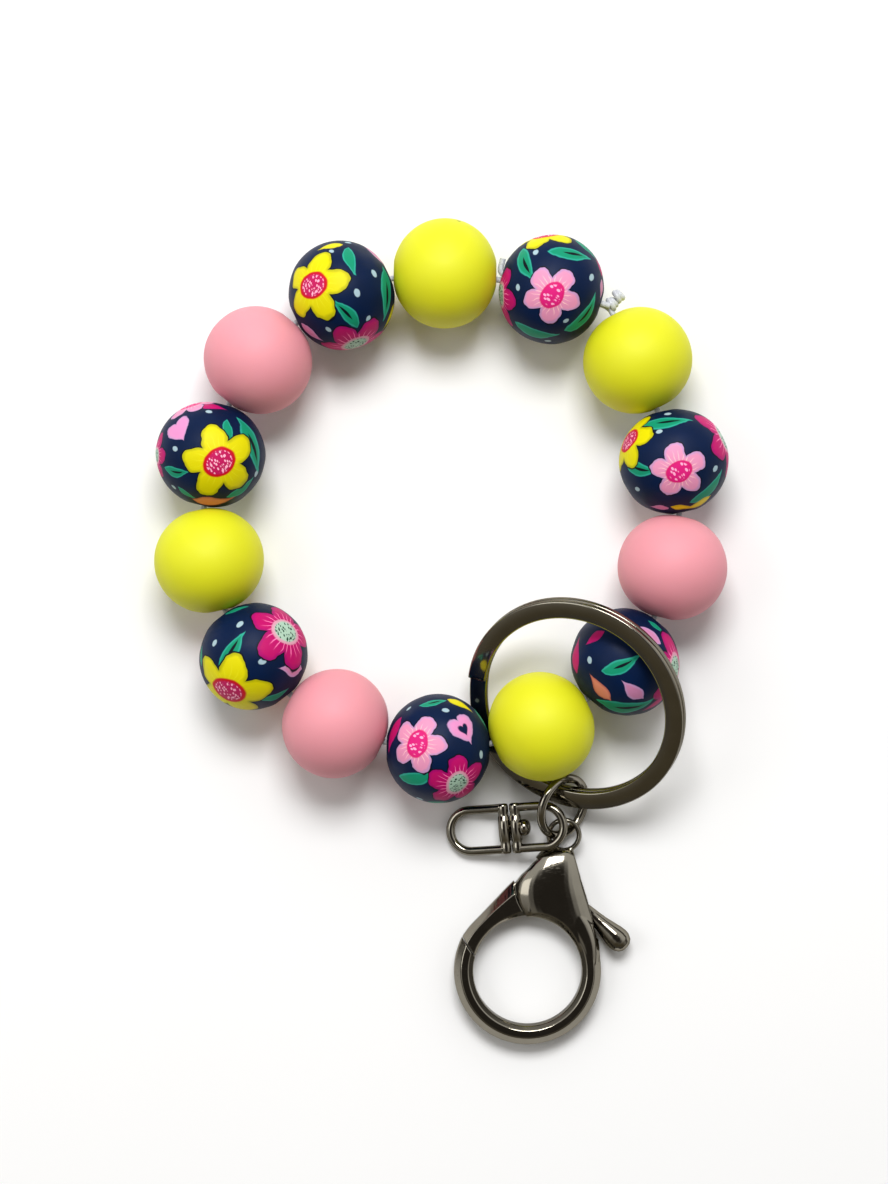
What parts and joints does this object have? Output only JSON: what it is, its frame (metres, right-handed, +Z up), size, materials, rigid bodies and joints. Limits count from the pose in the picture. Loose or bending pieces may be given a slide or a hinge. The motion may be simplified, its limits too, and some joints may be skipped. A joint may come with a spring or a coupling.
{
  "type": "wristlet keychain",
  "caption": "Loop of round silicone beads on an elastic cord, worn on the wrist, with a flat split ring, jump ring, swivel and lobster clasp.",
  "frame": {"origin": "middle of the bounding box, on the surface that the keychain lies on", "axes": "+Z up from that surface; +Y from the clasp towards the loop of beads; +X to the right seen from above"},
  "size_m": [0.0784, 0.1134, 0.0182],
  "materials": {
    "yellow_silicone": "matte silicone",
    "pink_silicone": "matte silicone",
    "printed_silicone": "matte silicone with an all-over floral print",
    "gunmetal": "polished dark gunmetal plating",
    "spring_steel": "bright drawn wire",
    "elastic": "translucent grey elastic"
  },
  "bodies": {
    "wristlet": {"elastic_cord": "elastic", "elastic_knot": "elastic", "cord_tail": "elastic"},
    "bead_01": {"bead_01_yellow": "yellow_silicone"},
    "bead_02": {"bead_02_print": "printed_silicone"},
    "bead_03": {"bead_03_yellow": "yellow_silicone"},
    "bead_04": {"bead_04_print": "printed_silicone"},
    "bead_05": {"bead_05_pink": "pink_silicone"},
    "bead_06": {"bead_06_print": "printed_silicone"},
    "bead_07": {"bead_07_yellow": "yellow_silicone"},
    "bead_08": {"bead_08_print": "printed_silicone"},
    "bead_09": {"bead_09_pink": "pink_silicone"},
    "bead_10": {"bead_10_print": "printed_silicone"},
    "bead_11": {"bead_11_yellow": "yellow_silicone"},
    "bead_12": {"bead_12_print": "printed_silicone"},
    "bead_13": {"bead_13_pink": "pink_silicone"},
    "bead_14": {"bead_14_print": "printed_silicone"},
    "key_ring": {"key_ring": "gunmetal"},
    "jump_ring": {"jump_ring": "gunmetal"},
    "swivel": {"swivel_near_loop": "gunmetal", "swivel_rivet": "gunmetal"},
    "swivel_end": {"swivel_far_loop": "gunmetal"},
    "clasp": {"clasp_body": "gunmetal", "lever_pin": "spring_steel", "lever_spring": "spring_steel"},
    "lever": {"clasp_lever": "gunmetal"}
  },
  "joints": [
    {"name": "bead_01_spin", "type": "hinge", "parent": "wristlet", "child": "bead_01", "pos_m": [0.00048, 0.04919, 0.0075], "axis": [0.9999, -0.0148, 0], "continuous": true},
    {"name": "bead_02_spin", "type": "hinge", "parent": "wristlet", "child": "bead_02", "pos_m": [0.01497, 0.047, 0.0075], "axis": [0.9599, -0.2803, 0], "continuous": true},
    {"name": "bead_03_spin", "type": "hinge", "parent": "wristlet", "child": "bead_03", "pos_m": [0.02674, 0.03733, 0.0075], "axis": [0.4607, -0.8876, 0], "continuous": true},
    {"name": "bead_04_spin", "type": "hinge", "parent": "wristlet", "child": "bead_04", "pos_m": [0.03169, 0.02353, 0.0075], "axis": [0.208, -0.9781, 0], "continuous": true},
    {"name": "bead_05_spin", "type": "hinge", "parent": "wristlet", "child": "bead_05", "pos_m": [0.03147, 0.00912, 0.0075], "axis": [-0.237, -0.9715, 0], "continuous": true},
    {"name": "bead_06_spin", "type": "hinge", "parent": "wristlet", "child": "bead_06", "pos_m": [0.02502, -0.00378, 0.0075], "axis": [-0.635, -0.7725, 0], "continuous": true},
    {"name": "bead_07_spin", "type": "hinge", "parent": "wristlet", "child": "bead_07", "pos_m": [0.01362, -0.0126, 0.0075], "axis": [-0.9073, -0.4205, 0], "continuous": true},
    {"name": "bead_08_spin", "type": "hinge", "parent": "wristlet", "child": "bead_08", "pos_m": [-0.00048, -0.0156, 0.0075], "axis": [-0.9999, 0.0148, 0], "continuous": true},
    {"name": "bead_09_spin", "type": "hinge", "parent": "wristlet", "child": "bead_09", "pos_m": [-0.01449, -0.01218, 0.0075], "axis": [-0.8944, 0.4472, 0], "continuous": true},
    {"name": "bead_10_spin", "type": "hinge", "parent": "wristlet", "child": "bead_10", "pos_m": [-0.02562, -0.00302, 0.0075], "axis": [-0.6118, 0.791, 0], "continuous": true},
    {"name": "bead_11_spin", "type": "hinge", "parent": "wristlet", "child": "bead_11", "pos_m": [-0.03169, 0.01006, 0.0075], "axis": [-0.208, 0.9781, 0], "continuous": true},
    {"name": "bead_12_spin", "type": "hinge", "parent": "wristlet", "child": "bead_12", "pos_m": [-0.03147, 0.02447, 0.0075], "axis": [0.237, 0.9715, 0], "continuous": true},
    {"name": "bead_13_spin", "type": "hinge", "parent": "wristlet", "child": "bead_13", "pos_m": [-0.02502, 0.03737, 0.0075], "axis": [0.635, 0.7725, 0], "continuous": true},
    {"name": "bead_14_spin", "type": "hinge", "parent": "wristlet", "child": "bead_14", "pos_m": [-0.01362, 0.04619, 0.0075], "axis": [0.9073, 0.4205, 0], "continuous": true},
    {"name": "key_ring_tilt", "type": "hinge", "parent": "wristlet", "child": "key_ring", "pos_m": [0.01362, -0.0126, 0.0075], "axis": [-0.7071, -0.7071, 0], "range_deg": [0, 90]},
    {"name": "jump_ring_swing", "type": "hinge", "parent": "key_ring", "child": "jump_ring", "pos_m": [0.0173, -0.0223, 0.00292], "axis": [0, 0, 1], "range_deg": [0, 16]},
    {"name": "swivel_swing", "type": "hinge", "parent": "jump_ring", "child": "swivel", "pos_m": [0.01475, -0.02738, 0.00396], "axis": [-0.2377, -0.0195, 0.9711], "range_deg": [-24, 8]},
    {"name": "swivel_spin", "type": "hinge", "parent": "swivel", "child": "swivel_end", "pos_m": [0.00948, -0.02686, 0.00268], "axis": [0.9679, 0.0796, 0.2385], "continuous": true},
    {"name": "clasp_swing", "type": "hinge", "parent": "jump_ring", "child": "clasp", "pos_m": [0.01653, -0.02771, 0.0022], "axis": [0, 0, 1], "range_deg": [0, 24]},
    {"name": "lever_pivot", "type": "hinge", "parent": "clasp", "child": "lever", "pos_m": [0.01646, -0.03449, 0.0022], "axis": [0, 0, 1], "range_deg": [0, 25], "stiffness_Nm_per_rad": 0.004, "springref_deg": -17.19}
  ]
}
